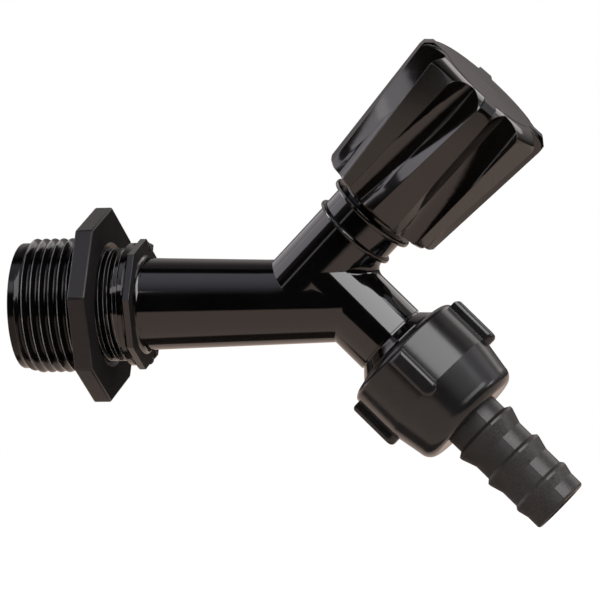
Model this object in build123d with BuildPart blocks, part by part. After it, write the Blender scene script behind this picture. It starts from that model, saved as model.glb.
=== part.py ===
from build123d import *
import os
from math import cos, hypot, radians, sin, sqrt

os.makedirs("parts", exist_ok=True)

# Layout of the three axes, in mm: the inlet runs along X, both branches lie in the XZ plane
valve_angle = 45.0
outlet_angle = 45.0
valve_cross_x = 39.63
outlet_cross_x = 51.94

# Clearances
running_gap = 0.07
washer_gap = 0.05
drive_gap = 0.06

# Reducing bush with a 3/4 inch pipe thread, its turns drawn as rings at the pitch
bush_thread_r = 13.22
bush_thread_length = 14.15
bush_lead = 0.6
thread_pitch = 1.814
thread_depth = 0.95
thread_crest = 0.5
thread_flank = 0.45
thread_turns = 7
bush_head_length = 3.6
bush_head_across = 35.5
bush_head_turn = -8.0
bush_head_edge = 0.35
bush_bore_r = 10.1
bush_sink_r = 12.25
bush_sink_depth = 1.1

# Inlet of the body
stub_inside_length = 10.0
stub_lead = 0.8
thread_show_length = 4.3
shoulder_r = 12.05
shoulder_length = 1.0
collar_r = 12.85
collar_length = 1.7
collar_turn = -8.0
collar_edge = 0.45
tube_root_r = 9.08
tube_tip_r = 7.87
tube_root_fillet = 0.9
inlet_bore_r = 4.5
inlet_bore_margin = 1.6

# Valve branch of the body, distances measured up the valve axis; it shows above the crotch
valve_branch_r = 7.82
valve_branch_show = 3.05
branch_bead_r = 8.65
branch_bead_length = 0.9
branch_bead_round = 0.4
chamber_r = 6.0
chamber_floor = 3.2
seat_hole_r = 3.5
seat_hole_depth = 4.5
seat_lip_r = 4.3
seat_lip_height = 1.0
crotch_round = 1.9
crotch_root = 0.5
crotch_reach = 0.85
crotch_stations = (-0.8, -0.65, -0.45, -0.22, 0, 0.22, 0.45, 0.65, 0.8)

# Outlet branch of the body, distances measured down the outlet axis from the inlet axis
outlet_branch_r = 7.8
outlet_branch_end = 10.7
flange_groove = 0.35
flange_groove_length = 0.45
flange_r = 9.38
flange_end = 13.0
spigot_r = 8.9
spigot_end = 24.5
outlet_bore_r = 4.2

# Tap washer, jumper valve and its screw
washer_r = 5.0
washer_thickness = 2.2
jumper_r = 5.2
jumper_thickness = 1.2
jumper_stem_r = 1.8
jumper_stem_length = 6.4
screw_r = 1.0
screw_length = 6.0
screw_head_r = 2.3
screw_head_length = 1.3

# Spindle
spindle_collar_r = 4.6
spindle_collar_length = 1.15
spindle_thread_r = 3.6
spindle_thread_length = 7.4
spindle_shaft_r = 3.0
spindle_rise = 2.65
spindle_square = 4.1
spindle_square_length = 18.0
spindle_tip = 0.5
valve_lift = 4.0

# Bonnet
bonnet_sleeve_r = 7.92
bonnet_bead_r = 9.28
bonnet_bead_start = 4.05
bonnet_bead_length = 1.0
bonnet_bead_round = 0.35
bonnet_top_r = 7.6
bonnet_top_length = 0.75
bonnet_stop_gap = 0.9
gland_land = 0.55
gland_width = 1.55
ring_section_r = 0.7
ring_groove_r = 4.6
bonnet_ring_section_r = 0.45
bonnet_groove_r = 5.0
bonnet_groove_width = 1.0
bonnet_groove_drop = 2.4

# Knob, its lobes of two kinds in turn, bottom sizes first and top sizes second
knob_clear = 1.25
knob_length = 31.0
knob_bottom_r = 13.4
knob_crease_r = 15.63
knob_shoulder = 2.85
knob_top_r = 10.7
knob_rib_top_r = 14.2
knob_crown = 0.25
knob_foot_chamfer = 0.5
knob_turn = 17.6
narrow_lobe_half = (12.0, 5.3)
wide_lobe_half = (5.5, 12.0)
flute_corner_at = 20.0
flute_corner_r = (12.7, 11.7)
flute_scoop = (0.8, 0.8)
knob_lobe_pairs = 4
knob_wall = 1.9
knob_roof = 3.0
hub_r = 5.0

# Union nut
nut_start_gap = 0.15
nut_mouth_r = 9.6
nut_r = 12.86
nut_mouth_length = 1.45
nut_crease = 10.6
nut_taper_r = 11.75
nut_taper_end = 16.9
nut_length = 19.8
nut_end_round = 2.6
nut_lip_length = 3.5
nut_rib_count = 4
nut_rib_r = 14.75
nut_rib_width = 3.6
nut_rib_start = 1.6
nut_rib_length = 10.6
nut_rib_round = 0.9
nut_rib_turn = 5.6

# Hose tail and union washer
tail_r = 5.97
tail_flange_r = 8.6
tail_bore_r = 4.2
tail_end_round = 0.6
tail_length = 23.95
barb_first = 2.8
barb_pitch = 7.45
barb_rise = 0.65
barb_land = 0.5
barb_radii = (7.0, 6.72, 6.45)
barb_tapers = (3.0, 2.7, 2.0)
union_washer_thickness = 2.0
union_washer_r = 8.5
union_washer_hole_r = 4.6

# Derived directions and stations
valve_dir = (cos(radians(valve_angle)), 0, sin(radians(valve_angle)))
outlet_dir = (cos(radians(outlet_angle)), 0, -sin(radians(outlet_angle)))
valve_axis = Axis((valve_cross_x, 0, 0), valve_dir)
outlet_axis = Axis((outlet_cross_x, 0, 0), outlet_dir)
valve_side = Plane(origin=(valve_cross_x, 0, 0), x_dir=valve_dir, z_dir=(0, -1, 0))
outlet_side = Plane(origin=(outlet_cross_x, 0, 0), x_dir=outlet_dir, z_dir=(0, -1, 0))
cross_gap = outlet_cross_x - valve_cross_x
spread = radians(valve_angle + outlet_angle)
outlet_start = -cross_gap * sin(radians(valve_angle)) / sin(spread)
cross_rise = cross_gap * sin(radians(outlet_angle)) / sin(spread)
crotch_rise = (outlet_branch_r - valve_branch_r * cos(spread)) / sin(spread)
crotch_drop = valve_branch_r / sin(spread)
valve_branch_end = cross_rise + crotch_rise + valve_branch_show

thread_root_r = bush_thread_r - thread_depth
stub_r = bush_bore_r - running_gap
shoulder_x = bush_head_length + thread_show_length
collar_x = shoulder_x + shoulder_length
collar_end = collar_x + collar_length
collar_core_r = collar_r * cos(radians(22.5)) - 0.1
tube_end = outlet_cross_x

seat_top = chamber_floor + seat_lip_height
jumper_base = seat_top + washer_thickness
jumper_top = jumper_base + jumper_thickness
spindle_base = jumper_top + washer_gap
collar_top = spindle_base + spindle_collar_length
spindle_thread_top = collar_top + spindle_thread_length
bonnet_base = collar_top + valve_lift + bonnet_stop_gap
bonnet_thread_top = spindle_thread_top + valve_lift + 2 * washer_gap
bonnet_bead_at = valve_branch_end + bonnet_bead_start
bonnet_top = bonnet_bead_at + bonnet_bead_length + bonnet_top_length
spigot_plug_r = chamber_r - running_gap
gland_lower = bonnet_thread_top + gland_land
gland_upper = gland_lower + gland_width + gland_land
spindle_shoulder = bonnet_top + spindle_rise
knob_base = bonnet_top + knob_clear
knob_top = knob_base + knob_length
hub_base = spindle_shoulder + washer_gap

nut_start = flange_end + nut_start_gap
nut_end = nut_start + nut_length
nut_bore_r = spigot_r + running_gap
nut_hole_r = tail_r + 2 * running_gap
lip_start = nut_end - nut_lip_length
union_washer_at = spigot_end + washer_gap
tail_flange_at = union_washer_at + union_washer_thickness + washer_gap
tail_flange_end = lip_start - washer_gap
tail_end = nut_end + tail_length


def valve_plane(distance):
    """Plane square to the valve axis at a distance up it."""
    origin = (valve_cross_x + distance * valve_dir[0], 0, distance * valve_dir[2])
    return Plane(origin=origin, x_dir=(0, -1, 0), z_dir=valve_dir)


def crotch_section(across):
    """Corners of the blend between the branches at a distance from the middle plane."""
    depth = sqrt(1 - (across / outlet_branch_r) ** 2)
    up = cross_rise + depth * crotch_rise
    drop = depth * crotch_drop
    corner_x = valve_cross_x + up * valve_dir[0] + drop * outlet_dir[0]
    corner_z = up * valve_dir[2] + drop * outlet_dir[2]
    size = crotch_round * sqrt(1 - (across / (crotch_reach * outlet_branch_r)) ** 2)
    middle = size * (1 - sqrt(0.5))
    sum_x, sum_z = valve_dir[0] + outlet_dir[0], valve_dir[2] + outlet_dir[2]
    return (
        (corner_x + size * valve_dir[0], corner_z + size * valve_dir[2]),
        (corner_x + size * outlet_dir[0], corner_z + size * outlet_dir[2]),
        (corner_x + middle * sum_x, corner_z + middle * sum_z),
        (corner_x - crotch_root * sum_x, corner_z - crotch_root * sum_z),
    )


def outlet_radial_plane(angle):
    """Plane that holds the outlet axis, its normal at an angle from -Y towards the upper side."""
    side, up = cos(radians(angle)), sin(radians(angle))
    normal = (-up * outlet_dir[2], -side, up * outlet_dir[0])
    return Plane(origin=(outlet_cross_x, 0, 0), x_dir=outlet_dir, z_dir=normal)


def turned_point(radius, angle):
    """Point of a star outline."""
    return (radius * cos(radians(angle)), radius * sin(radians(angle)))


def knob_outline(outer_r, end):
    """Corners of the fluted outline at the bottom (0) or the top (1) of the knob, six to a pair of lobes."""
    step = 360 / knob_lobe_pairs
    points = []
    for pair in range(knob_lobe_pairs):
        middle = knob_turn + pair * step
        points.append(turned_point(outer_r, middle - narrow_lobe_half[end]))
        points.append(turned_point(outer_r, middle + narrow_lobe_half[end]))
        points.append(turned_point(flute_corner_r[end], middle + flute_corner_at))
        points.append(turned_point(outer_r, middle + step / 2 - wide_lobe_half[end]))
        points.append(turned_point(outer_r, middle + step / 2 + wide_lobe_half[end]))
        points.append(turned_point(flute_corner_r[end], middle + step - flute_corner_at))
    return points


def scoop_point(start, finish, depth):
    """Deepest point of a flute's hollow wall, below the middle of its chord."""
    across = (start[0] + finish[0]) / 2
    up = (start[1] + finish[1]) / 2
    share = 1 - depth / hypot(across, up)
    return (across * share, up * share)


# Reducing bush
with BuildPart() as reducing_bush:
    with BuildSketch(Plane.YZ):
        RegularPolygon(bush_head_across / 2, 8, major_radius=False, rotation=bush_head_turn)
    extrude(amount=bush_head_length)
    chamfer(faces().sort_by(Axis.X)[-1].edges(), bush_head_edge)
    thread_outline = [
        (-bush_thread_length, 0),
        (-bush_thread_length, thread_root_r - bush_lead),
        (-bush_thread_length + bush_lead, thread_root_r),
    ]
    for turn in reversed(range(thread_turns)):
        crest_end = -turn * thread_pitch
        thread_outline.append((crest_end - thread_crest - thread_flank, thread_root_r))
        thread_outline.append((crest_end - thread_crest, bush_thread_r))
        thread_outline.append((crest_end, bush_thread_r))
        if turn > 0:
            thread_outline.append((crest_end + thread_flank, thread_root_r))
    with BuildSketch(Plane.XZ):
        Polygon(*thread_outline, (0, 0), align=None)
    revolve(axis=Axis.X)
    with BuildSketch(Plane.XZ):
        Polygon(
            (-bush_thread_length, 0),
            (-bush_thread_length, bush_bore_r),
            (bush_head_length - bush_sink_depth, bush_bore_r),
            (bush_head_length, bush_sink_r),
            (bush_head_length, 0),
            align=None,
        )
    revolve(axis=Axis.X, mode=Mode.SUBTRACT)
reducing_bush.part.label = "reducing_bush"
export_step(reducing_bush.part, "parts/reducing_bush.step")

# Tap body: inlet with shoulder and collar, valve branch, outlet branch, then the water ways
with BuildPart() as tap_body:
    with BuildSketch(Plane.YZ.offset(collar_x)):
        RegularPolygon(collar_r, 8, rotation=collar_turn)
    extrude(amount=collar_length)
    chamfer(faces().sort_by(Axis.X)[0].edges(), collar_edge)
    with BuildSketch(Plane.XZ):
        Polygon(
            (-stub_inside_length, 0),
            (-stub_inside_length, stub_r - stub_lead),
            (-stub_inside_length + stub_lead, stub_r),
            (shoulder_x, stub_r),
            (shoulder_x, shoulder_r),
            (collar_x, shoulder_r),
            (collar_x, collar_core_r),
            (collar_end, collar_core_r),
            (collar_end, tube_root_r),
            (tube_end, tube_tip_r),
            (tube_end, 0),
            align=None,
        )
        root = vertices().sort_by_distance((collar_end, tube_root_r))[0]
        fillet(root, tube_root_fillet)
    revolve(axis=Axis.X)
    with BuildSketch(valve_side):
        Polygon(
            (0, 0),
            (0, valve_branch_r),
            (valve_branch_end - branch_bead_length, valve_branch_r),
            (valve_branch_end - branch_bead_length, branch_bead_r),
            (valve_branch_end, branch_bead_r),
            (valve_branch_end, 0),
            align=None,
        )
        rim = vertices().filter_by(lambda v: abs(v.Y - branch_bead_r) < 0.01)
        fillet(rim, branch_bead_round)
    revolve(axis=valve_axis)
    with BuildSketch(outlet_side):
        Polygon(
            (outlet_start, 0),
            (outlet_start, outlet_branch_r),
            (outlet_branch_end, outlet_branch_r),
            (outlet_branch_end, outlet_branch_r - flange_groove),
            (outlet_branch_end + flange_groove_length, outlet_branch_r - flange_groove),
            (outlet_branch_end + flange_groove_length, outlet_branch_r),
            (flange_end - 0.2, flange_r),
            (flange_end, flange_r),
            (flange_end, spigot_r),
            (spigot_end, spigot_r),
            (spigot_end, 0),
            align=None,
        )
    revolve(axis=outlet_axis)
    for part_of_width in crotch_stations:
        across = part_of_width * outlet_branch_r
        with BuildSketch(Plane.XZ.offset(across)):
            with BuildLine():
                upper, lower, middle, inner = crotch_section(across)
                ThreePointArc(upper, middle, lower)
                Line(lower, inner)
                Line(inner, upper)
            make_face()
    loft()
    with BuildSketch(Plane.XZ):
        Polygon(
            (-stub_inside_length, 0),
            (-stub_inside_length, inlet_bore_r),
            (valve_cross_x - inlet_bore_margin, inlet_bore_r),
            (valve_cross_x - inlet_bore_margin, 0),
            align=None,
        )
    revolve(axis=Axis.X, mode=Mode.SUBTRACT)
    with BuildSketch(valve_side):
        Polygon(
            (seat_top, 0),
            (seat_top, seat_lip_r),
            (chamber_floor, seat_lip_r),
            (chamber_floor, chamber_r),
            (valve_branch_end, chamber_r),
            (valve_branch_end, 0),
            align=None,
        )
    revolve(axis=valve_axis, mode=Mode.SUBTRACT)
    with BuildSketch(valve_plane(-seat_hole_depth)):
        Circle(seat_hole_r)
    extrude(amount=seat_hole_depth + seat_top, mode=Mode.SUBTRACT)
    with BuildSketch(outlet_side):
        Polygon(
            (outlet_start, 0),
            (outlet_start, outlet_bore_r),
            (spigot_end, outlet_bore_r),
            (spigot_end, 0),
            align=None,
        )
    revolve(axis=outlet_axis, mode=Mode.SUBTRACT)
tap_body.part.label = "tap_body"
export_step(tap_body.part, "parts/tap_body.step")

# Bonnet: plug inside the branch, sleeve and bead outside, gland grooves in its bore
with BuildPart() as bonnet:
    with BuildSketch(valve_side):
        Polygon(
            (bonnet_base, 0),
            (bonnet_base, spigot_plug_r),
            (valve_branch_end, spigot_plug_r),
            (valve_branch_end, bonnet_sleeve_r),
            (bonnet_bead_at, bonnet_sleeve_r),
            (bonnet_bead_at, bonnet_bead_r),
            (bonnet_bead_at + bonnet_bead_length, bonnet_bead_r),
            (bonnet_bead_at + bonnet_bead_length, bonnet_top_r),
            (bonnet_top, bonnet_top_r),
            (bonnet_top, 0),
            align=None,
        )
        rim = vertices().filter_by(lambda v: abs(v.Y - bonnet_bead_r) < 0.01)
        fillet(rim, bonnet_bead_round)
    revolve(axis=valve_axis)
    with BuildSketch(valve_side):
        Polygon(
            (bonnet_base, 0),
            (bonnet_base, spindle_thread_r + running_gap),
            (bonnet_thread_top, spindle_thread_r + running_gap),
            (bonnet_thread_top, spindle_shaft_r + running_gap),
            (gland_lower, spindle_shaft_r + running_gap),
            (gland_lower, ring_groove_r),
            (gland_lower + gland_width, ring_groove_r),
            (gland_lower + gland_width, spindle_shaft_r + running_gap),
            (gland_upper, spindle_shaft_r + running_gap),
            (gland_upper, ring_groove_r),
            (gland_upper + gland_width, ring_groove_r),
            (gland_upper + gland_width, spindle_shaft_r + running_gap),
            (bonnet_top, spindle_shaft_r + running_gap),
            (bonnet_top, 0),
            align=None,
        )
    revolve(axis=valve_axis, mode=Mode.SUBTRACT)
    with BuildSketch(valve_side):
        with Locations((valve_branch_end - bonnet_groove_drop, bonnet_groove_r)):
            Rectangle(bonnet_groove_width, 2 * (chamber_r - bonnet_groove_r), align=(Align.MIN, Align.MIN))
    revolve(axis=valve_axis, mode=Mode.SUBTRACT)
bonnet.part.label = "bonnet"
export_step(bonnet.part, "parts/bonnet.step")

# Bonnet seal
with BuildPart() as bonnet_seal:
    with BuildSketch(valve_side):
        with Locations((
            valve_branch_end - bonnet_groove_drop + bonnet_groove_width / 2,
            bonnet_groove_r + washer_gap + bonnet_ring_section_r,
        )):
            Circle(bonnet_ring_section_r)
    revolve(axis=valve_axis)
bonnet_seal.part.label = "bonnet_seal"
export_step(bonnet_seal.part, "parts/bonnet_seal.step")

# Spindle seals
with BuildPart() as spindle_seal_lower:
    with BuildSketch(valve_side):
        with Locations((gland_lower + gland_width / 2, spindle_shaft_r + washer_gap + ring_section_r)):
            Circle(ring_section_r)
    revolve(axis=valve_axis)
spindle_seal_lower.part.label = "spindle_seal_lower"
export_step(spindle_seal_lower.part, "parts/spindle_seal_lower.step")

with BuildPart() as spindle_seal_upper:
    with BuildSketch(valve_side):
        with Locations((gland_upper + gland_width / 2, spindle_shaft_r + washer_gap + ring_section_r)):
            Circle(ring_section_r)
    revolve(axis=valve_axis)
spindle_seal_upper.part.label = "spindle_seal_upper"
export_step(spindle_seal_upper.part, "parts/spindle_seal_upper.step")

# Tap washer
with BuildPart() as tap_washer:
    with BuildSketch(valve_plane(seat_top)):
        Circle(washer_r)
        Circle(screw_r + running_gap, mode=Mode.SUBTRACT)
    extrude(amount=washer_thickness)
tap_washer.part.label = "tap_washer"
export_step(tap_washer.part, "parts/tap_washer.step")

# Jumper valve
with BuildPart() as jumper_valve:
    with BuildSketch(valve_plane(jumper_base)):
        Circle(jumper_r)
    extrude(amount=jumper_thickness)
    with BuildSketch(valve_plane(jumper_top)):
        Circle(jumper_stem_r)
    extrude(amount=jumper_stem_length)
    with BuildSketch(valve_plane(jumper_base)):
        Circle(screw_r + running_gap)
    extrude(amount=screw_length, mode=Mode.SUBTRACT)
jumper_valve.part.label = "jumper_valve"
export_step(jumper_valve.part, "parts/jumper_valve.step")

# Washer screw
with BuildPart() as washer_screw:
    with BuildSketch(valve_plane(seat_top - screw_head_length)):
        Circle(screw_head_r)
    extrude(amount=screw_head_length)
    with BuildSketch(valve_plane(seat_top)):
        Circle(screw_r)
    extrude(amount=screw_length)
washer_screw.part.label = "washer_screw"
export_step(washer_screw.part, "parts/washer_screw.step")

# Spindle
with BuildPart() as spindle:
    with BuildSketch(valve_side):
        Polygon(
            (spindle_base, 0),
            (spindle_base, spindle_collar_r),
            (collar_top, spindle_collar_r),
            (collar_top, spindle_thread_r),
            (spindle_thread_top, spindle_thread_r),
            (spindle_thread_top, spindle_shaft_r),
            (spindle_shoulder, spindle_shaft_r),
            (spindle_shoulder, 0),
            align=None,
        )
    revolve(axis=valve_axis)
    with BuildSketch(valve_plane(spindle_shoulder)):
        Rectangle(spindle_square, spindle_square)
    extrude(amount=spindle_square_length)
    chamfer(faces().sort_by(valve_axis)[-1].edges(), spindle_tip)
    with BuildSketch(valve_plane(spindle_base)):
        Circle(jumper_stem_r + running_gap)
    extrude(amount=jumper_stem_length + 2 * running_gap, mode=Mode.SUBTRACT)
spindle.part.label = "spindle"
export_step(spindle.part, "parts/spindle.step")

# Knob: ruled between two fluted outlines, the shoulder turned, hollow below with a hub on the spindle
knob_slope = (knob_crease_r - knob_bottom_r) / (knob_length - knob_shoulder)
knob_brim_r = knob_bottom_r + knob_slope * knob_length
crease_at = knob_top - knob_shoulder

with BuildPart() as shoulder_cut:
    with BuildSketch(valve_side):
        with BuildLine():
            Line((crease_at, knob_crease_r), (crease_at, knob_crease_r + 2))
            Line((crease_at, knob_crease_r + 2), (knob_top + 1, knob_crease_r + 2))
            Line((knob_top + 1, knob_crease_r + 2), (knob_top + 1, knob_top_r))
            Line((knob_top + 1, knob_top_r), (knob_top - knob_crown, knob_top_r))
            EllipticalCenterArc(
                (crease_at, knob_top_r),
                knob_shoulder - knob_crown,
                knob_crease_r - knob_top_r,
                start_angle=0,
                arc_size=90,
            )
        make_face()
    revolve(axis=valve_axis)
    with BuildSketch(valve_plane(crease_at - 1)):
        for pair in range(knob_lobe_pairs):
            with Locations(Rotation(0, 0, knob_turn + pair * 360 / knob_lobe_pairs)):
                with Locations((knob_crease_r, 0)):
                    Rectangle(
                        2 * (knob_crease_r - knob_top_r + 2),
                        2 * knob_crease_r * sin(radians(narrow_lobe_half[1])),
                    )
    extrude(amount=knob_shoulder + 3, mode=Mode.SUBTRACT)

with BuildPart() as knob:
    for end, (height, outer_r) in enumerate(((knob_base, knob_bottom_r), (knob_top, knob_brim_r))):
        corners = knob_outline(outer_r, end)
        with BuildSketch(valve_plane(height)):
            with BuildLine():
                for number, corner in enumerate(corners):
                    following = corners[(number + 1) % len(corners)]
                    if number % 6 in (2, 4):
                        ThreePointArc(corner, scoop_point(corner, following, flute_scoop[end]), following)
                    else:
                        Line(corner, following)
            make_face()
    loft(ruled=True)
    with BuildSketch(valve_side):
        with BuildLine():
            Polyline(
                (knob_top, 0),
                (knob_base, 0),
                (knob_base, knob_bottom_r - knob_foot_chamfer),
                (knob_base + knob_foot_chamfer, knob_bottom_r + knob_slope),
                (crease_at, knob_crease_r + 0.05),
            )
            Line((crease_at, knob_crease_r + 0.05), (crease_at + knob_shoulder * 0.5, knob_crease_r - 0.1))
            Line(
                (crease_at + knob_shoulder * 0.5, knob_crease_r - 0.1),
                (knob_top - knob_crown, knob_rib_top_r),
            )
            Line((knob_top - knob_crown, knob_rib_top_r), (knob_top, 0))
        make_face()
    revolve(axis=valve_axis, mode=Mode.INTERSECT)
    add(shoulder_cut.part, mode=Mode.SUBTRACT)
    with BuildSketch(valve_side):
        Polygon(
            (knob_base, hub_r),
            (knob_base, flute_corner_r[0] - knob_wall),
            (knob_top - knob_roof, flute_corner_r[1] - knob_wall),
            (knob_top - knob_roof, hub_r),
            align=None,
        )
    revolve(axis=valve_axis, mode=Mode.SUBTRACT)
    with BuildSketch(valve_plane(knob_base)):
        Circle(hub_r + 0.1)
    extrude(amount=hub_base - knob_base, mode=Mode.SUBTRACT)
    with BuildSketch(valve_plane(hub_base)):
        Rectangle(spindle_square + 2 * drive_gap, spindle_square + 2 * drive_gap)
    extrude(amount=spindle_square_length + drive_gap, mode=Mode.SUBTRACT)
knob.part.label = "knob"
export_step(knob.part, "parts/knob.step")

# Union nut
with BuildPart() as union_nut:
    for rib in range(nut_rib_count):
        side = outlet_radial_plane(nut_rib_turn + rib * 360 / nut_rib_count)
        with BuildSketch(side.offset(nut_bore_r)):
            with Locations((nut_start + nut_rib_start, 0)):
                Rectangle(nut_rib_length, nut_rib_width, align=(Align.MIN, Align.CENTER))
            fillet(vertices().sort_by(Axis.X)[-2:], nut_rib_width / 2 - 0.1)
        extrude(amount=nut_rib_r - nut_bore_r)
        crest = faces(Select.LAST).sort_by(Axis(side.origin, side.z_dir))[-1]
        fillet(crest.edges(), nut_rib_round)
    with BuildSketch(outlet_side):
        with BuildLine():
            Line((nut_start, 0), (nut_start, nut_mouth_r))
            EllipticalCenterArc(
                (nut_start + nut_mouth_length, nut_mouth_r),
                nut_mouth_length,
                nut_r - nut_mouth_r,
                start_angle=90,
                arc_size=90,
            )
            Polyline(
                (nut_start + nut_mouth_length, nut_r),
                (nut_start + nut_crease, nut_r),
                (nut_start + nut_taper_end, nut_taper_r),
                (nut_end, nut_taper_r - 0.4),
                (nut_end, 0),
                (nut_start, 0),
            )
        make_face()
        fillet(vertices().sort_by_distance((nut_end, nut_taper_r))[0], nut_end_round)
    revolve(axis=outlet_axis)
    with BuildSketch(outlet_side):
        Polygon(
            (nut_start, 0),
            (nut_start, nut_bore_r),
            (lip_start, nut_bore_r),
            (lip_start, nut_hole_r),
            (nut_end, nut_hole_r),
            (nut_end, 0),
            align=None,
        )
    revolve(axis=outlet_axis, mode=Mode.SUBTRACT)
union_nut.part.label = "union_nut"
export_step(union_nut.part, "parts/union_nut.step")

# Union washer
with BuildPart() as union_washer:
    with BuildSketch(outlet_side):
        with Locations((union_washer_at, union_washer_hole_r)):
            Rectangle(
                union_washer_thickness,
                union_washer_r - union_washer_hole_r,
                align=(Align.MIN, Align.MIN),
            )
    revolve(axis=outlet_axis)
union_washer.part.label = "union_washer"
export_step(union_washer.part, "parts/union_washer.step")

# Hose tail
with BuildPart() as hose_tail:
    outline = [
        (tail_flange_at, tail_bore_r),
        (tail_flange_at, tail_flange_r),
        (tail_flange_end, tail_flange_r),
        (tail_flange_end, tail_r),
    ]
    for index, crest in enumerate(barb_radii):
        start = nut_end + barb_first + index * barb_pitch
        outline.append((start, tail_r))
        outline.append((start + barb_rise, crest))
        outline.append((start + barb_rise + barb_land, crest))
        outline.append((start + barb_rise + barb_land + barb_tapers[index], tail_r))
    outline.append((tail_end, tail_r))
    outline.append((tail_end, tail_bore_r))
    with BuildSketch(outlet_side):
        Polygon(*outline, align=None)
        fillet(vertices().sort_by_distance((tail_end, tail_r))[0], tail_end_round)
    revolve(axis=outlet_axis)
hose_tail.part.label = "hose_tail"
export_step(hose_tail.part, "parts/hose_tail.step")
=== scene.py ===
"""Garden tap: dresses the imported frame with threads, finishes, light and camera."""
import math

import bmesh
import bpy
from bpy.props import FloatProperty, FloatVectorProperty, IntProperty, PointerProperty
from bpy.types import NodeSocket, Operator, Panel, PropertyGroup
from mathutils import Matrix, Vector, noise


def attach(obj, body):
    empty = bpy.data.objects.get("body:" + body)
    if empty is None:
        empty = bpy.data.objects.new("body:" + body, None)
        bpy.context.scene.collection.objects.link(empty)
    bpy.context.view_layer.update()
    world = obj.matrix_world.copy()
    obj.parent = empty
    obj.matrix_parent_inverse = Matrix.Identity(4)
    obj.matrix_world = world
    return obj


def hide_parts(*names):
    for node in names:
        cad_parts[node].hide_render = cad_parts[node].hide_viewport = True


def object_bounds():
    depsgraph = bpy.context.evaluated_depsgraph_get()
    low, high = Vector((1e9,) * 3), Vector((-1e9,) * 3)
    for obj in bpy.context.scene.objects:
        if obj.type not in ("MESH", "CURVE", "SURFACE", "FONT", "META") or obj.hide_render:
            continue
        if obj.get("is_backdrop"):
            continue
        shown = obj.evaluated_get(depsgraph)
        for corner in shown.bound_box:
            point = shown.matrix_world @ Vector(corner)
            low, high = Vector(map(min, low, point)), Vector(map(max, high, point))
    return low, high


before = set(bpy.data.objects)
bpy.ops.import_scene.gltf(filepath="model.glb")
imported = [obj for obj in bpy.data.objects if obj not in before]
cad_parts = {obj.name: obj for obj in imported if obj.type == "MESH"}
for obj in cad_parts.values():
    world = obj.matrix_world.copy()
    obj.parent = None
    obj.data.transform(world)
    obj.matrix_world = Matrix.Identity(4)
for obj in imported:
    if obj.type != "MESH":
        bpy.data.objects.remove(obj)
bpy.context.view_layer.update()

bl_info = {
    "name": "Garden Tap",
    "version": (1, 0, 0),
    "blender": (4, 5, 0),
    "location": "View3D > Sidebar > Tap",
    "description": "Threads, finishes and studio for the packed garden tap",
    "category": "Object",
}

MM = 0.001
INLET = Vector((1, 0, 0))

# Thread outlines over one turn: share of the pitch along it, share of the depth over the root.
# The inlet thread has broad crests with a fine ridge along either edge.
TOOTH = ((0.0, 0.0), (0.09, 0.02), (0.16, 0.1), (0.42, 0.9), (0.455, 0.98), (0.5, 1.0),
         (0.545, 0.98), (0.58, 0.9), (0.84, 0.1), (0.91, 0.02))
FLAT_TOOTH = ((0.0, 0.0), (0.08, 0.02), (0.14, 0.12), (0.25, 0.92), (0.265, 1.0),
              (0.315, 1.0), (0.33, 0.93), (0.67, 0.93), (0.685, 1.0), (0.735, 1.0),
              (0.75, 0.92), (0.86, 0.12), (0.92, 0.02))
SPARE_TURNS = 2  # turns made past either end of a thread and cut off again
LEAD_RISE = 0.25  # share of the depth at which the plain lead-in stands

HEAD_SIDES = 8
HEAD_OVERLAP = 0.4 * MM  # how far the thread's sleeve runs into the head
SQUARE = 0.999  # a face whose normal lies this close to the inlet is square to it
FLAT_AREA = 20 * MM * MM  # a wider face is one of the flats
SHARP = 32  # degrees past which an edge stays sharp
TOUCH = 1e-7  # points closer than this fall together

# Flash on the collar: turn from the top towards the far side, radius and stretch along the inlet
FLASH_BITS = ((math.radians(26), 1.05 * MM, 0.9), (math.radians(14), 0.8 * MM, 1.0),
              (math.radians(150), 1.0 * MM, 0.9), (math.radians(163), 0.75 * MM, 1.1))
FLASH_GRAIN = 1400.0
FLASH_DENT = 0.45  # depth of a dent as a share of the radius
FLASH_INSET = 0.6 * MM  # from the collar's face back to the middle of a bit
FLASH_SHARP = 60

# Finish of every moulding: flow streaks, height of the grain and care taken over rounded edges
STREAK_SCALE = 70.0
GRAIN_HEIGHT = 0.02 * MM
RIM_SAMPLES = 6

# Finish of the threads: depths under the crest between which the shine and a line of painted
# highlight rise; that line is grey painted along the crests in place of their thin highlights
SHINE_DEPTHS = (0.3 * MM, 0.08 * MM)
CREST_HIGHLIGHT_DEPTHS = (0.05 * MM, 0.015 * MM)
PATCH_SCALE = 260.0

# Finish of the collar: how square and how near to its end a face has to be to be roughened
COLLAR_SQUARE = 0.99
COLLAR_REACH = 0.05 * MM

# Finish of the hose tail: the side on which its second mould half lies, and how the halves differ:
# painted light and shade make the half facing up and right lighter and the other half darker, and
# their roughness differs
PARTING_SIDE = Vector((0.6355, 0.4384, 0.6355))
# Painted light and shade: colour of the lower half darkened, of the half facing up and right
# lightened
LIT_AND_SHADED_HALVES = (0.72, 1.35)
HALF_ROUGHNESS = (0.2, -0.06)
GROOVE_DEPTH = -4.0

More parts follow.
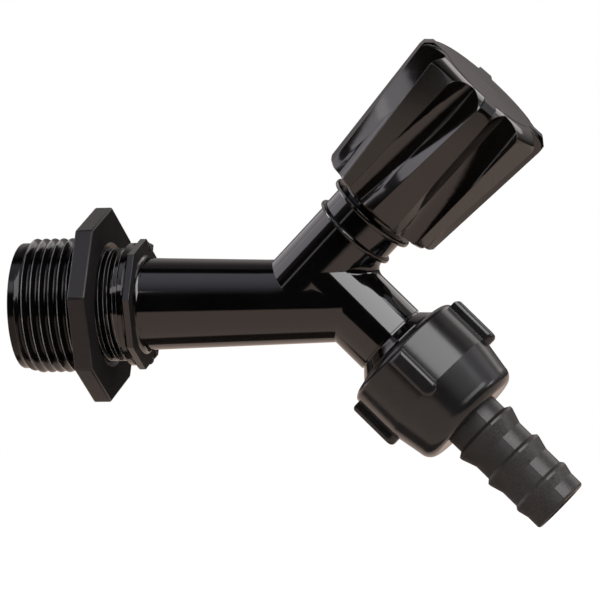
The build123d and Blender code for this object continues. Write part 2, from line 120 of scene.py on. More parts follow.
# Ramps of the finishes, floor and surroundings: from, to, level before, level after
STREAKS = (0.3, 0.7, -1.0, 1.0)
CREST_HIGHLIGHT_PATCHES = (0.3, 0.65, 0.25, 1.0)
SPECKLE = (0.32, 0.68, 0.35, 1.65)
FLOOR_WHITE = (0.2, 0.6, 0.75, 1.0)  # share of plain white, less near the tap to keep its shadow
FLOOR_LIFT = (0.2, 0.6, 1.2, 1.0)  # strength of that white
CARD_SLANT = (0.0, 0.2, 0.0, -0.2)  # how the mirrored floor's front edge runs back
CARD_EDGE = (-0.36, -0.28, 0.0, 0.74)  # that front edge, and the mirrored floor's strength
# Painted shadow: the dim oval is the tap's shadow painted into the floor's glow seen in reflections
PAINTED_TUBE_SHADOW = (0.85, 1.15, 0.08, 1.0)  # rim of the dim oval under the inlet tube
WALL_SIDE = (0.17, 0.32, 0.0, 1.0)
WALL_FOOT = (-0.06, 0.4, 0.0, 0.44)
WALL_TOP = (0.55, 0.9, 1.0, 0.3)
ROOF_SIDE = (-0.1, 0.01, 1.0, 0.0)
ROOF_RISE = (0.38, 1.0, 0.0, 0.71)
WALL_SHARE = (0.0, 0.1, 0.0, 1.0)

# The painted shadow's oval: one over its half widths, and its shifted centre
SHADE_SCALE = (14.0, 38.0, 0.0)
SHADE_SHIFT = (-0.3, -0.76, 0.0)
FLOOR_SIZE = 3.0
WHITE = (1, 1, 1, 1)
ROOF_TONE = (1.0, 0.975, 1.12, 1)
WALL_TONE = (1.0, 0.9, 0.89, 1)

# Studio lights: name, direction from the tap, long side, width, height, brightness and tint,
# and for the card beside the knob its own centre and distance
LIGHTS = (
    ("right_box", (0.485, -0.60, 0.635), (0.44, 0.785, 0.44), 1.1, 0.66, 4.7, (1.0, 0.99, 0.985)),
    ("left_box", (-0.846, -0.059, 0.53), (0.07, -0.998, 0.0), 0.55, 0.5, 1.5, (1.0, 0.94, 1.02)),
    ("left_back_box", (-0.709, 0.497, 0.5), (0.574, 0.819, 0.0), 0.7, 0.6, 0.75,
     (1.0, 0.95, 1.04)),
    ("left_front_box", (-0.839, -0.409, 0.358), (0.438, -0.899, 0.0), 0.22, 0.2, 0.6,
     (1.0, 0.83, 0.7)),
    ("left_front_strip", (-0.59, -0.75, 0.29), (0.786, -0.618, 0.0), 0.06, 0.3, 0.9,
     (1.0, 0.95, 0.93)),
    ("knob_card", (-0.648, -0.668, 0.368), (0.524, -0.762, -0.41), 0.12, 0.055, 1.9,
     (1.0, 0.94, 1.0), (0.07, -0.013, 0.062), 0.247),
    ("left_strip", (-0.98, 0.17, 0.1), (0.0, 0.0, 1.0), 0.6, 0.35, 7.0, (1.0, 0.98, 1.0)),
    ("right_side_box", (0.832, 0.102, 0.545), (0.122, -0.993, 0.0), 1.0, 0.4, 0.6,
     (1.0, 0.98, 1.06)),
    ("right_low_strip", (0.939, 0.115, 0.326), (0.122, -0.993, 0.0), 0.3, 0.12, 5.0,
     (1.0, 0.98, 0.98)),
    ("right_back_box", (0.366, 0.785, 0.5), (0.906, -0.423, 0.0), 0.5, 0.4, 1.2,
     (1.0, 0.95, 0.96)),
)
TAP_MIDDLE = (0.045, 0, 0)

# Camera: the picture's width in pixels, the sensor's in mm, and where a point of the bush falls
FRAME_WIDTH = 600
SENSOR_WIDTH = 36.0
AIM = Vector((-0.007, 0, 0))
AIM_SEEN = (60.328, 305.29)
CLIP_END = 20.0


# Sizes, finishes and view that a user may change

def length(name, description, default):
    """A length in metres for a size panel."""
    return FloatProperty(name=name, description=description, default=default, unit="LENGTH",
                         precision=5)


def colour(name, description, default):
    """A colour for a finish panel."""
    return FloatVectorProperty(name=name, description=description, default=default,
                               subtype="COLOR", size=3, min=0.0, max=1.0)


def angle(name, description, degrees):
    """An angle for a size or view panel, given in degrees."""
    return FloatProperty(name=name, description=description, default=math.radians(degrees),
                         subtype="ANGLE")


class TapSizes(PropertyGroup):
    """Sizes of the bush, the threads, the collar's flash and the moulded edges."""

    pitch: length("Thread pitch", "Distance between thread crests", 1.814 * MM)
    thread_depth: length("Thread depth", "Height of a crest over its root", 1.16 * MM)
    bush_crest_r: length("Bush crest radius", "Radius over the bush's thread", 13.22 * MM)
    bush_end_x: length("Bush end", "Place of the bush's free end on the inlet axis", -14.15 * MM)
    bush_lead: length("Bush lead-in", "Plain length before the bush's thread", 1.3 * MM)
    bush_run_in: length("Bush run-in", "Length over which the thread rises", 1.0 * MM)
    bush_bore_r: length("Bush bore radius", "Radius of the bush's bore", 10.1 * MM)
    head_across: length("Head across flats", "Width of the eight-sided head", 35.5 * MM)
    head_length: length("Head length", "Length of the eight-sided head", 3.6 * MM)
    head_turn: angle("Head turn", "Turn of the eight-sided head about the inlet", -8.0)
    head_edge: length("Head edge", "Width of the head's bevelled edges", 0.35 * MM)
    sink_r: length("Countersink radius", "Radius of the countersink at the head's face", 12.25 * MM)
    sink_depth: length("Countersink depth", "Depth of the countersink", 1.1 * MM)
    stub_crest_r: length("Stub crest radius", "Radius over the body's inlet thread", 11.1 * MM)
    stub_core_r: length("Stub core radius", "Radius inside the body's inlet stub", 9.6 * MM)
    stub_start_x: length("Stub thread start", "Where the body's thread begins to show", 2.2 * MM)
    stub_end_x: length("Stub thread end", "Where the body's thread meets the shoulder", 7.95 * MM)
    thread_steps: IntProperty(name="Thread steps", description="Divisions of a turn",
                              default=120, min=24)
    collar_end_x: length("Collar end", "Place of the collar's rough face on the inlet axis",
                         10.6 * MM)
    flash_r: length("Flash radius", "Radius at which the collar's flash sits", 11.9 * MM)
    outlet_cross_x: length("Outlet cross", "Where the outlet's axis meets the inlet axis",
                           51.94 * MM)
    parting_width: length("Parting line", "Half width of the tail's parting line", 0.16 * MM)
    edge_round: length("Edge rounding", "Rounding of moulded edges", 0.14 * MM)


class TapFinishes(PropertyGroup):
    """Colours of the finishes."""

    gloss_black: colour("Gloss black", "Body and bonnet", (0.0018, 0.0016, 0.0016))
    knob_black: colour("Knob black", "Knob", (0.0030, 0.0024, 0.0020))
    bush_black: colour("Bush black", "Head of the reducing bush", (0.0055, 0.005, 0.005))
    face_black: colour("Face black", "Rough faces of the bush's head and of the collar",
                       (0.011, 0.01, 0.01))
    nut_black: colour("Nut black", "Union nut", (0.009, 0.0084, 0.0084))
    tail_black: colour("Tail black", "Hose tail", (0.0165, 0.0143, 0.0138))
    # Painted highlight: a grey line painted along the thread crests in place of their thin
    # highlights
    crest_highlight_grey: colour("Painted crest highlight", "Thin line along the thread crests", (0.15, 0.148, 0.145))
    rubber_black: colour("Rubber", "Seals and washers", (0.012, 0.012, 0.012))
    brass: colour("Brass", "Spindle and jumper valve", (0.56, 0.40, 0.16))
    steel: colour("Steel", "Washer screw", (0.52, 0.52, 0.53))


class TapStudio(PropertyGroup):
    """Camera and floor."""

    azimuth: angle("Azimuth", "Turn of the camera about the vertical", 13.73)
    elevation: angle("Elevation", "Height of the camera over the horizon", 3.972)
    roll: angle("Roll", "Turn of the camera about its own line of sight", 1.797)
    lens: FloatProperty(name="Lens", description="Focal length in mm on a 36 mm sensor",
                        default=262.8, unit="CAMERA")
    distance: length("Distance", "From the camera to the bush", 864.3 * MM)
    floor_drop: length("Floor drop", "Gap between the tap and the floor", 45 * MM)
    floor_tone: colour("Floor", "Colour of the floor", (0.92, 0.92, 0.92))
    floor_warmth: colour("Floor glow", "Tone of the floor in reflections", (1.0, 0.79, 0.68))


def sizes():
    """The sizes as they are set in the scene."""
    return bpy.context.scene.tap_sizes


def finishes():
    """The colours as they are set in the scene."""
    return bpy.context.scene.tap_finishes


def studio():
    """The view and floor as they are set in the scene."""
    return bpy.context.scene.tap_studio


# Material helpers

def feed(tree, value, socket):
    """Links an output to a socket, or sets the socket to a plain value."""
    if isinstance(value, NodeSocket):
        tree.links.new(value, socket)
    else:
        socket.default_value = value


def object_place(tree):
    """Place on the object."""
    return tree.nodes.new("ShaderNodeTexCoord").outputs["Object"]


def math_node(tree, kind, *values):
    """One value worked out of others."""
    node = tree.nodes.new("ShaderNodeMath")
    node.operation = kind
    for value, socket in zip(values, node.inputs):
        feed(tree, value, socket)
    return node.outputs[0]


def vector_node(tree, kind, *values, scale=None):
    """A vector worked out of others, or its length or product."""
    node = tree.nodes.new("ShaderNodeVectorMath")
    node.operation = kind
    for value, socket in zip(values, node.inputs):
        feed(tree, value, socket)
    if scale is not None:
        feed(tree, scale, node.inputs["Scale"])
    return node.outputs["Value" if kind in ("LENGTH", "DOT_PRODUCT") else "Vector"]


def ramp(tree, value, low, high, at_low, at_high, kind="SMOOTHSTEP"):
    """A value eased from one level to another between two limits."""
    node = tree.nodes.new("ShaderNodeMapRange")
    node.interpolation_type = kind
    node.inputs["From Min"].default_value = low
    node.inputs["From Max"].default_value = high
    node.inputs["To Min"].default_value = at_low
    node.inputs["To Max"].default_value = at_high
    feed(tree, value, node.inputs["Value"])
    return node.outputs["Result"]


def mottle(tree, place, scale, detail=2.0):
    """Cloudy patches, from 0 to 1."""
    node = tree.nodes.new("ShaderNodeTexNoise")
    feed(tree, place, node.inputs["Vector"])
    feed(tree, scale, node.inputs["Scale"])
    node.inputs["Detail"].default_value = detail
    return node.outputs["Fac"]


def mix_tones(tree, share, first, second):
    """A colour mixed from two."""
    node = tree.nodes.new("ShaderNodeMix")
    node.data_type = "RGBA"
    feed(tree, share, node.inputs["Factor"])
    feed(tree, first, node.inputs["A"])
    feed(tree, second, node.inputs["B"])
    return node.outputs["Result"]


# Finishes

def moulded_grain():
    """Group: fine moulded grain and flow streaks as tint, roughness and height."""
    name = "MouldedGrain"
    if name in bpy.data.node_groups:
        return bpy.data.node_groups[name]
    group = bpy.data.node_groups.new(name, "ShaderNodeTree")
    for socket, way, kind, default in (
            ("Colour", "INPUT", "NodeSocketColor", (0.02, 0.02, 0.02, 1)),
            ("Roughness", "INPUT", "NodeSocketFloat", 0.2),
            ("Spread", "INPUT", "NodeSocketFloat", 0.05),
            ("Grain Scale", "INPUT", "NodeSocketFloat", 900.0),
            ("Tint", "INPUT", "NodeSocketFloat", 0.3),
            ("Colour", "OUTPUT", "NodeSocketColor", None),
            ("Roughness", "OUTPUT", "NodeSocketFloat", None),
            ("Height", "OUTPUT", "NodeSocketFloat", None)):
        made = group.interface.new_socket(name=socket, in_out=way, socket_type=kind)
        if default is not None:
            made.default_value = default
    entry = group.nodes.new("NodeGroupInput").outputs
    leave = group.nodes.new("NodeGroupOutput").inputs
    place = object_place(group)
    fine = mottle(group, place, entry["Grain Scale"], detail=4.0)
    broad = mottle(group, place, STREAK_SCALE, detail=3.0)
    amount = math_node(group, "MULTIPLY_ADD", ramp(group, broad, *STREAKS, kind="LINEAR"),
                       entry["Tint"], 1.0)
    about_zero = math_node(group, "SUBTRACT", fine, 0.5)
    feed(group, vector_node(group, "SCALE", entry["Colour"], scale=amount), leave["Colour"])
    feed(group, math_node(group, "MULTIPLY_ADD", about_zero, entry["Spread"], entry["Roughness"]),
         leave["Roughness"])
    feed(group, fine, leave["Height"])
    return group


def plastic(name, tone, roughness, spread, grain, bump, specular=0.75, tint=0.3):
    """A black moulded plastic with its own gloss and grain."""
    material = bpy.data.materials.new(name)
    material.use_nodes = True
    tree = material.node_tree
    shader = tree.nodes["Principled BSDF"]
    shader.inputs["IOR"].default_value = 1.5
    shader.inputs["Specular IOR Level"].default_value = specular
    surface = tree.nodes.new("ShaderNodeGroup")
    surface.node_tree = moulded_grain()
    surface.inputs["Colour"].default_value = (*tone, 1)
    surface.inputs["Roughness"].default_value = roughness
    surface.inputs["Spread"].default_value = spread
    surface.inputs["Grain Scale"].default_value = grain
    surface.inputs["Tint"].default_value = tint
    relief = tree.nodes.new("ShaderNodeBump")
    relief.inputs["Strength"].default_value = bump
    relief.inputs["Distance"].default_value = GRAIN_HEIGHT
    rim = tree.nodes.new("ShaderNodeBevel")
    rim.samples = RIM_SAMPLES
    rim.inputs["Radius"].default_value = sizes().edge_round
    feed(tree, rim.outputs["Normal"], relief.inputs["Normal"])
    feed(tree, surface.outputs["Colour"], shader.inputs["Base Color"])
    feed(tree, surface.outputs["Roughness"], shader.inputs["Roughness"])
    feed(tree, surface.outputs["Height"], relief.inputs["Height"])
    feed(tree, relief.outputs["Normal"], shader.inputs["Normal"])
    return material


def thread_plastic(name, tone, crest_r):
    """A dark thread whose crests carry a shine and a thin line of painted highlight."""
    material = plastic(name, tone, roughness=0.14, spread=0.06, grain=900.0, bump=0.05,
                       specular=0.3)
    tree = material.node_tree
    tree.nodes.remove(tree.nodes["Bevel"])
    shader = tree.nodes["Principled BSDF"]
    shader.inputs["Coat Roughness"].default_value = 0.06
    place = object_place(tree)
    radius = vector_node(tree, "LENGTH", vector_node(tree, "MULTIPLY", place, (0, 1, 1)))
    shine, line = (ramp(tree, radius, crest_r - low, crest_r - high, 0.0, 1.0)
                   for low, high in (SHINE_DEPTHS, CREST_HIGHLIGHT_DEPTHS))
    feed(tree, shine, shader.inputs["Coat Weight"])
    patches = ramp(tree, mottle(tree, place, PATCH_SCALE), *CREST_HIGHLIGHT_PATCHES)
    # Painted highlight: grey mixed into the colour in patches along the crests
    painted_highlight = math_node(tree, "MULTIPLY", patches, line)
    plain = shader.inputs["Base Color"].links[0].from_socket
    feed(tree, mix_tones(tree, painted_highlight, plain, (*finishes().crest_highlight_grey, 1)),
         shader.inputs["Base Color"])
    return material


def tail_plastic(name, tone):
    """A grainy plastic with the parting line of its two mould halves along the hose tail; one half
    is painted lighter and the other darker, as painted light and shade.
    """
    material = plastic(name, tone, roughness=0.46, spread=0.35, grain=3200.0, bump=1.0,
                       specular=0.5, tint=0.5)
    tree = material.node_tree
    shader, surface = tree.nodes["Principled BSDF"], tree.nodes["Group"]
    side = vector_node(tree, "DOT_PRODUCT", object_place(tree), PARTING_SIDE)
    split = PARTING_SIDE.x * sizes().outlet_cross_x
    near, far = split - sizes().parting_width, split + sizes().parting_width
    # Painted light and shade: the half facing up and right is lightened, the other half darkened
    half = ramp(tree, side, near, far, *LIT_AND_SHADED_HALVES)
    speckle = ramp(tree, surface.outputs["Height"], *SPECKLE)
    shade = math_node(tree, "MULTIPLY", speckle, half)
    feed(tree, vector_node(tree, "SCALE", surface.outputs["Colour"], scale=shade),
         shader.inputs["Base Color"])
    dullness = ramp(tree, side, near, far, *HALF_ROUGHNESS)
    feed(tree, math_node(tree, "ADD", surface.outputs["Roughness"], dullness),
         shader.inputs["Roughness"])
    groove = math_node(tree, "MAXIMUM", ramp(tree, side, near, split, 0.0, GROOVE_DEPTH),
                       ramp(tree, side, split, far, GROOVE_DEPTH, 0.0))
    feed(tree, math_node(tree, "ADD", surface.outputs["Height"], groove),
         tree.nodes["Bump"].inputs["Height"])
    return material


def metal(name, tone, roughness):
    """A turned metal with fine marks."""
    material = plastic(name, tone, roughness, spread=0.12, grain=1800.0, bump=0.2)
    material.node_tree.nodes["Principled BSDF"].inputs["Metallic"].default_value = 1.0
    return material


def paint_node(node, material):
    """Gives a carried-over solid its finish."""
    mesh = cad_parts[node].data
    mesh.materials.clear()
    mesh.materials.append(material)


# Shapes

def new_object(name, shape, materials):
    """Turns a bmesh into a named object."""
    mesh = bpy.data.meshes.new(name)
    shape.to_mesh(mesh)
    shape.free()
    for material in materials:
        mesh.materials.append(material)
    made = bpy.data.objects.new(name, mesh)
    bpy.context.scene.collection.objects.link(made)
    return made


def new_piece(name, shape, materials, body):
    """Turns a bmesh into a named piece that rides on a body."""
    piece = new_object(name, shape, materials)
    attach(piece, body)
    return piece


def smooth_faces(shape, limit=SHARP):
    """Smooth faces with sharp edges; wide flats and faces square to the inlet stay flat."""
    for face in shape.faces:
        face.normal_update()
        face.smooth = abs(face.normal.x) < SQUARE and face.calc_area() < FLAT_AREA
    for edge in shape.edges:
        if len(edge.link_faces) == 2 and edge.calc_face_angle(0) > math.radians(limit):
            edge.smooth = False


def ring(shape, x, radius, steps):
    """A circle of edges about the inlet axis."""
    made = bmesh.ops.create_circle(shape, segments=steps, radius=radius, cap_ends=False)
    turn = Matrix.Translation((x, 0, 0)) @ Matrix.Rotation(math.pi / 2, 4, "Y")
    bmesh.ops.transform(shape, matrix=turn, verts=made["verts"])
    corners = set(made["verts"])
    return [e for e in shape.edges if e.verts[0] in corners and e.verts[1] in corners]


def open_loop(shape, x, reach=1e-6):
    """Edges of the open rim at a place on the inlet axis."""
    return [e for e in shape.edges
            if len(e.link_faces) == 1 and all(abs(v.co.x - x) < reach for v in e.verts)]


def threaded_sleeve(shape, tooth, start, end, crest, depth, pitch, bore, steps,
                    lead=0.0, run_in=0.0):
    """A closed sleeve with a right-hand thread outside, from start to end along the inlet."""
    root = crest - depth
    line = []
    for turn in range(int((end - start) / pitch) + 2 * SPARE_TURNS):
        for along, rise in tooth:
            x = start + (turn - SPARE_TURNS + along) * pitch
            line.append(shape.verts.new((x, 0, root + rise * depth)))
    edges = [shape.edges.new(pair) for pair in zip(line, line[1:])]
    bmesh.ops.spin(shape, geom=line + edges, cent=(0, 0, 0), axis=INLET,
                   dvec=INLET * (pitch / steps), angle=math.tau, steps=steps, use_merge=False)
    bmesh.ops.remove_doubles(shape, verts=shape.verts, dist=TOUCH)
    plain = root + LEAD_RISE * depth
    for vert in shape.verts:
        radius = math.hypot(vert.co.y, vert.co.z)
        rise = 1.0 if lead == 0 else (vert.co.x - start - lead) / run_in
        rise = min(max(rise, 0.0), 1.0)
        wanted = plain + (radius - plain) * rise
        vert.co.y *= wanted / radius
        vert.co.z *= wanted / radius
    for place, side in ((start, -1), (end, 1)):
        bmesh.ops.bisect_plane(shape, geom=shape.verts[:] + shape.edges[:] + shape.faces[:],
                               dist=1e-9, plane_co=(place, 0, 0), plane_no=INLET * side,
                               clear_outer=True)
    rims = [open_loop(shape, start), open_loop(shape, end)]
    inner = [ring(shape, start, bore, steps), ring(shape, end, bore, steps)]
    for rim, mouth in zip(rims, inner):
        bmesh.ops.bridge_loops(shape, edges=rim + mouth)
    bmesh.ops.bridge_loops(shape, edges=inner[0] + inner[1])
    bmesh.ops.recalc_face_normals(shape, faces=shape.faces[:])


def bush_head(size):
    """The eight-sided head with its bevelled edges, bore and countersink."""
    head = bmesh.new()
    corner_r = size.head_across / 2 / math.cos(math.pi / HEAD_SIDES)
    made = bmesh.ops.create_circle(head, segments=HEAD_SIDES, radius=corner_r, cap_ends=True)
    turn = (Matrix.Rotation(math.pi / 2 + size.head_turn, 4, "X")
            @ Matrix.Rotation(math.pi / 2, 4, "Y"))
    bmesh.ops.transform(head, matrix=turn, verts=made["verts"])
    grown = bmesh.ops.extrude_face_region(head, geom=head.faces[:])
    lifted = [g for g in grown["geom"] if isinstance(g, bmesh.types.BMVert)]
    bmesh.ops.translate(head, vec=INLET * size.head_length, verts=lifted)
    bmesh.ops.recalc_face_normals(head, faces=head.faces[:])
    bmesh.ops.bevel(head, geom=head.edges[:], offset=size.head_edge, segments=2, profile=0.5,
                    affect="EDGES", material=-1)
    ends = (0.0, size.head_length)
    for x in ends:
        flat = [f for f in head.faces if all(abs(v.co.x - x) < TOUCH for v in f.verts)]
        bmesh.ops.delete(head, geom=flat, context="FACES_ONLY")
    mouths = [ring(head, x, radius, size.thread_steps)
              for x, radius in ((0.0, size.bush_bore_r),
                                (size.head_length - size.sink_depth, size.bush_bore_r),
                                (size.head_length, size.sink_r))]
    outer = [open_loop(head, x) for x in ends]
    loops = [outer[0], *mouths, outer[1]]
    for first, second in zip(loops, loops[1:]):
        bmesh.ops.bridge_loops(head, edges=first + second)
    bmesh.ops.recalc_face_normals(head, faces=head.faces[:])
    return head


# Operators

class TAP_OT_reducing_bush(Operator):
    """Makes the reducing bush with its real thread and bevelled head"""

    bl_idname = "tap.reducing_bush"
    bl_label = "Reducing bush"

    def execute(self, context):
        size, tone = sizes(), finishes()
        materials = (
            plastic("BushHead", tone.bush_black, roughness=0.36, spread=0.2, grain=1900.0,
                    bump=0.9, specular=0.45),
            thread_plastic("BushThread", tone.gloss_black, size.bush_crest_r),
            plastic("BushFace", tone.face_black, roughness=0.8, spread=0.2, grain=1900.0,
                    bump=0.9, specular=0.03),
        )
        shape = bmesh.new()
        threaded_sleeve(shape, TOOTH, size.bush_end_x, HEAD_OVERLAP, size.bush_crest_r,
                        size.thread_depth, size.pitch, size.bush_bore_r, size.thread_steps,
                        size.bush_lead, size.bush_run_in)
        for face in shape.faces:
            face.material_index = 1
        head = bush_head(size)
        for face in head.faces:
            if face.normal.x > SQUARE:
                face.material_index = 2
        spare = bpy.data.meshes.new("head")
        head.to_mesh(spare)
        head.free()
        shape.from_mesh(spare)
        bpy.data.meshes.remove(spare)
        smooth_faces(shape)
        piece = new_piece("reducing_bush_threaded", shape, materials, "body")
        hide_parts("reducing_bush")
        return {"FINISHED"}


class TAP_OT_inlet_thread(Operator):
    """Makes the thread that shows between the bush and the body's shoulder"""

    bl_idname = "tap.inlet_thread"
    bl_label = "Inlet thread"

    def execute(self, context):
        size = sizes()
        shape = bmesh.new()
        threaded_sleeve(shape, FLAT_TOOTH, size.stub_start_x, size.stub_end_x, size.stub_crest_r,
                        size.thread_depth, size.pitch, size.stub_core_r, size.thread_steps)
        smooth_faces(shape)
        gloss = thread_plastic("InletThread", finishes().gloss_black, size.stub_crest_r)
        new_piece("inlet_thread", shape, (gloss,), "body")
        return {"FINISHED"}


class TAP_OT_collar_flash(Operator):
    """Adds the ragged bits of moulding flash on the rim of the body's collar"""

    bl_idname = "tap.collar_flash"
    bl_label = "Collar flash"

    def execute(self, context):
        size = sizes()
        shape = bmesh.new()
        for turn, radius, reach in FLASH_BITS:
            spot = Vector((size.collar_end_x - FLASH_INSET, math.sin(turn) * size.flash_r,
                           math.cos(turn) * size.flash_r))
            made = bmesh.ops.create_icosphere(shape, subdivisions=3, radius=radius)
            for vert in made["verts"]:
                bump = noise.noise(vert.co * FLASH_GRAIN + spot * FLASH_GRAIN)
                vert.co *= 1.0 + FLASH_DENT * bump
                vert.co.x *= reach
                vert.co += spot
        bmesh.ops.recalc_face_normals(shape, faces=shape.faces[:])
        smooth_faces(shape, FLASH_SHARP)
        rough = plastic("CollarFlash", finishes().face_black, roughness=0.4, spread=0.3,
                        grain=1300.0, bump=1.0, specular=0.5)
        new_piece("collar_flash", shape, (rough,), "body")
        return {"FINISHED"}


class TAP_OT_mouldings(Operator):
    """Finishes the body, bonnet, knob, union nut and hose tail"""

    bl_idname = "tap.mouldings"
    bl_label = "Mouldings"

    def execute(self, context):
        tone = finishes()
        looks = {
            "tap_body": plastic("BodyGloss", tone.gloss_black, roughness=0.075, spread=0.03,
                                grain=700.0, bump=0.12),
            "bonnet": plastic("BonnetGloss", tone.gloss_black, roughness=0.09, spread=0.03,
                              grain=700.0, bump=0.12),
            "knob": plastic("KnobGloss", tone.knob_black, roughness=0.085, spread=0.03,
                            grain=800.0, bump=0.03),
            "union_nut": plastic("NutSatin", tone.nut_black, roughness=0.2, spread=0.04,
                                 grain=1500.0, bump=0.06, specular=0.5),
            "hose_tail": tail_plastic("TailSatin", tone.tail_black),
        }
        for node, material in looks.items():
            paint_node(node, material)
        self.collar_face(tone)
        return {"FINISHED"}

    def collar_face(self, tone):
        """Roughens the collar's face towards the tube."""
        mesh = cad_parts["tap_body"].data
        mesh.materials.append(plastic("CollarFace", tone.face_black, roughness=0.7, spread=0.35,
                                      grain=1300.0, bump=1.5, specular=0.08))
        end = sizes().collar_end_x
        worn = [f for f in mesh.polygons
                if f.normal.x > COLLAR_SQUARE and abs(f.center.x - end) < COLLAR_REACH]
        if not worn:
            raise RuntimeError("the collar's face was not found")
        for face in worn:
            face.material_index = 1


class TAP_OT_inner_parts(Operator):
    """Finishes the seals, washers, spindle, jumper valve and screw"""

    bl_idname = "tap.inner_parts"
    bl_label = "Inner parts"

    def execute(self, context):
        tone = finishes()
        rubber = plastic("SealRubber", tone.rubber_black, roughness=0.6, spread=0.15,
                         grain=1600.0, bump=0.3, specular=0.4)
        brass = metal("TurnedBrass", tone.brass, roughness=0.28)
        steel = metal("ScrewSteel", tone.steel, roughness=0.3)
        for node in ("bonnet_seal", "spindle_seal_lower", "spindle_seal_upper", "tap_washer",
                     "union_washer"):
            paint_node(node, rubber)
        for node in ("spindle", "jumper_valve"):
            paint_node(node, brass)
        paint_node("washer_screw", steel)
        return {"FINISHED"}


def softbox(name, toward, long_side, width, height, brightness, tint, centre=TAP_MIDDLE,
            away=1.0):
    """A rectangular studio light in a direction from a point of the tap, facing it."""
    out = Vector(toward).normalized()
    across = Vector(long_side)
    across = (across - out * across.dot(out)).normalized()
    data = bpy.data.lights.new(name, "AREA")
    data.shape = "RECTANGLE"
    data.size = width
    data.size_y = height
    data.energy = brightness * math.pi * width * height
    data.color = tint
    lamp = bpy.data.objects.new(name, data)
    turn = Matrix((across, out.cross(across), out)).transposed().to_4x4()
    lamp.matrix_world = Matrix.Translation(out * away + Vector(centre)) @ turn
    bpy.context.scene.collection.objects.link(lamp)


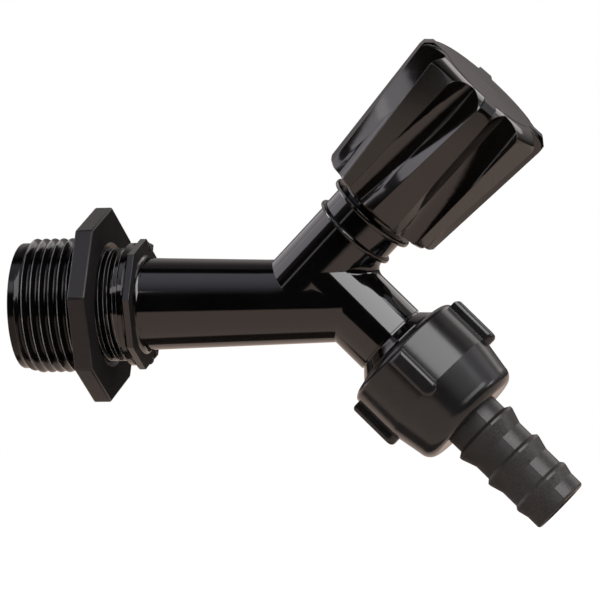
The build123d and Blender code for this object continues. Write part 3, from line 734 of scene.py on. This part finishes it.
class TAP_OT_stage(Operator):
    """Sets the floor, the light, the surroundings and the camera"""

    bl_idname = "tap.stage"
    bl_label = "Studio"

    def execute(self, context):
        view = studio()
        self.floor(view)
        self.surroundings()
        for light in LIGHTS:
            softbox(*light)
        self.camera(view)
        context.scene.view_settings.view_transform = "Standard"
        return {"FINISHED"}

    def floor(self, view):
        """Lays the pale floor under the tap."""
        shape = bmesh.new()
        bmesh.ops.create_grid(shape, x_segments=1, y_segments=1, size=FLOOR_SIZE)
        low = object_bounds()[0][2] - view.floor_drop
        bmesh.ops.translate(shape, vec=(0, 0, low), verts=shape.verts[:])
        floor = new_object("floor", shape, (self.floor_finish(view),))
        floor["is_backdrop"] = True

    def floor_finish(self, view):
        """White with a soft shadow to the camera, a warm card with a painted shadow of the tap in
        reflections, matt otherwise.
        """
        material = bpy.data.materials.new("PaleFloor")
        material.use_nodes = True
        tree = material.node_tree
        shader = tree.nodes["Principled BSDF"]
        shader.inputs["Base Color"].default_value = (*view.floor_tone, 1)
        shader.inputs["Roughness"].default_value = 0.9
        shader.inputs["Specular IOR Level"].default_value = 0.0
        path = tree.nodes.new("ShaderNodeLightPath").outputs
        place = object_place(tree)
        away = vector_node(tree, "LENGTH", place)
        seen = math_node(tree, "MULTIPLY", path["Is Camera Ray"], ramp(tree, away, *FLOOR_WHITE))
        mirrored = math_node(tree, "MAXIMUM", path["Is Glossy Ray"], path["Is Transmission Ray"])
        white = math_node(tree, "MULTIPLY", path["Is Camera Ray"], ramp(tree, away, *FLOOR_LIFT))
        split = tree.nodes.new("ShaderNodeSeparateXYZ")
        feed(tree, place, split.inputs["Vector"])
        reach = math_node(tree, "ADD", split.outputs["Y"],
                          ramp(tree, split.outputs["X"], *CARD_SLANT))
        # Painted shadow: a dim oval under the tap in the card that reflections show
        oval = vector_node(tree, "LENGTH",
                           vector_node(tree, "MULTIPLY_ADD", place, SHADE_SCALE, SHADE_SHIFT))
        card = math_node(tree, "MULTIPLY", ramp(tree, reach, *CARD_EDGE),
                         ramp(tree, oval, *PAINTED_TUBE_SHADOW))
        glow = tree.nodes.new("ShaderNodeEmission")
        feed(tree, mix_tones(tree, path["Is Camera Ray"], (*view.floor_warmth, 1), WHITE),
             glow.inputs["Color"])
        feed(tree, math_node(tree, "MAXIMUM", card, white), glow.inputs["Strength"])
        mix = tree.nodes.new("ShaderNodeMixShader")
        feed(tree, math_node(tree, "MAXIMUM", seen, mirrored), mix.inputs["Fac"])
        feed(tree, shader.outputs["BSDF"], mix.inputs[1])
        feed(tree, glow.outputs["Emission"], mix.inputs[2])
        feed(tree, mix.outputs["Shader"], tree.nodes["Material Output"].inputs["Surface"])
        return material

    def surroundings(self):
        """Sets a soft wall behind and a soft roof in front, white to the camera."""
        world = bpy.data.worlds.new("Studio")
        bpy.context.scene.world = world
        world.use_nodes = True
        tree = world.node_tree
        back = tree.nodes["Background"]
        camera_ray = tree.nodes.new("ShaderNodeLightPath").outputs["Is Camera Ray"]
        split = tree.nodes.new("ShaderNodeSeparateXYZ")
        feed(tree, tree.nodes.new("ShaderNodeTexCoord").outputs["Generated"],
             split.inputs["Vector"])
        depth, height = split.outputs["Y"], split.outputs["Z"]
        rise = math_node(tree, "MULTIPLY", ramp(tree, height, *WALL_FOOT),
                         ramp(tree, height, *WALL_TOP))
        wall = math_node(tree, "MULTIPLY", ramp(tree, depth, *WALL_SIDE), rise)
        roof = math_node(tree, "MULTIPLY", ramp(tree, depth, *ROOF_SIDE),
                         ramp(tree, height, *ROOF_RISE))
        light = math_node(tree, "ADD", wall, roof)
        feed(tree, math_node(tree, "MAXIMUM", light, camera_ray), back.inputs["Strength"])
        tone = mix_tones(tree, ramp(tree, depth, *WALL_SHARE), ROOF_TONE, WALL_TONE)
        feed(tree, mix_tones(tree, camera_ray, tone, WHITE), back.inputs["Color"])

    def camera(self, view):
        """Sets the camera so that a point of the bush falls at its place in the picture."""
        toward = Vector((math.sin(view.azimuth) * math.cos(view.elevation),
                         -math.cos(view.azimuth) * math.cos(view.elevation),
                         math.sin(view.elevation)))
        right = Vector((math.cos(view.azimuth), math.sin(view.azimuth), 0))
        up = toward.cross(right)
        across = right * math.cos(view.roll) - up * math.sin(view.roll)
        rise = right * math.sin(view.roll) + up * math.cos(view.roll)
        data = bpy.data.cameras.new("camera")
        data.sensor_width = SENSOR_WIDTH
        data.sensor_fit = "HORIZONTAL"
        data.lens = view.lens
        data.clip_end = CLIP_END
        pixels = view.lens / SENSOR_WIDTH * FRAME_WIDTH
        off_right, off_down = ((seen - FRAME_WIDTH / 2) / pixels * view.distance
                               for seen in AIM_SEEN)
        place = AIM + toward * view.distance - across * off_right + rise * off_down
        eye = bpy.data.objects.new("camera", data)
        turn = Matrix((across, rise, toward)).transposed().to_4x4()
        eye.matrix_world = Matrix.Translation(place) @ turn
        bpy.context.scene.collection.objects.link(eye)
        bpy.context.scene.camera = eye


class TAP_PT_sidebar(Panel):
    """Lists the steps that dress the tap, and the values that a user may change"""

    bl_idname = "TAP_PT_sidebar"
    bl_label = "Garden tap"
    bl_space_type = "VIEW_3D"
    bl_region_type = "UI"
    bl_category = "Tap"

    def draw(self, context):
        for step in STEPS:
            self.layout.operator(step.bl_idname)
        for name, kind in GROUPS.items():
            box = self.layout.box()
            for value in kind.__annotations__:
                box.prop(getattr(context.scene, name), value)


STEPS = (TAP_OT_reducing_bush, TAP_OT_inlet_thread, TAP_OT_collar_flash, TAP_OT_mouldings,
         TAP_OT_inner_parts, TAP_OT_stage)
GROUPS = {"tap_sizes": TapSizes, "tap_finishes": TapFinishes, "tap_studio": TapStudio}
CLASSES = (*GROUPS.values(), *STEPS, TAP_PT_sidebar)


def register():
    """Makes the classes and the scene's values known."""
    for kind in CLASSES:
        bpy.utils.register_class(kind)
    for name, kind in GROUPS.items():
        setattr(bpy.types.Scene, name, PointerProperty(type=kind))


def unregister():
    """Takes the scene's values and the classes away again."""
    for name in GROUPS:
        delattr(bpy.types.Scene, name)
    for kind in reversed(CLASSES):
        bpy.utils.unregister_class(kind)


def main():
    """Dresses the tap step by step."""
    register()
    bpy.ops.tap.reducing_bush()
    bpy.ops.tap.inlet_thread()
    bpy.ops.tap.collar_flash()
    bpy.ops.tap.mouldings()
    bpy.ops.tap.inner_parts()
    bpy.ops.tap.stage()


if __name__ == "__main__":
    main()
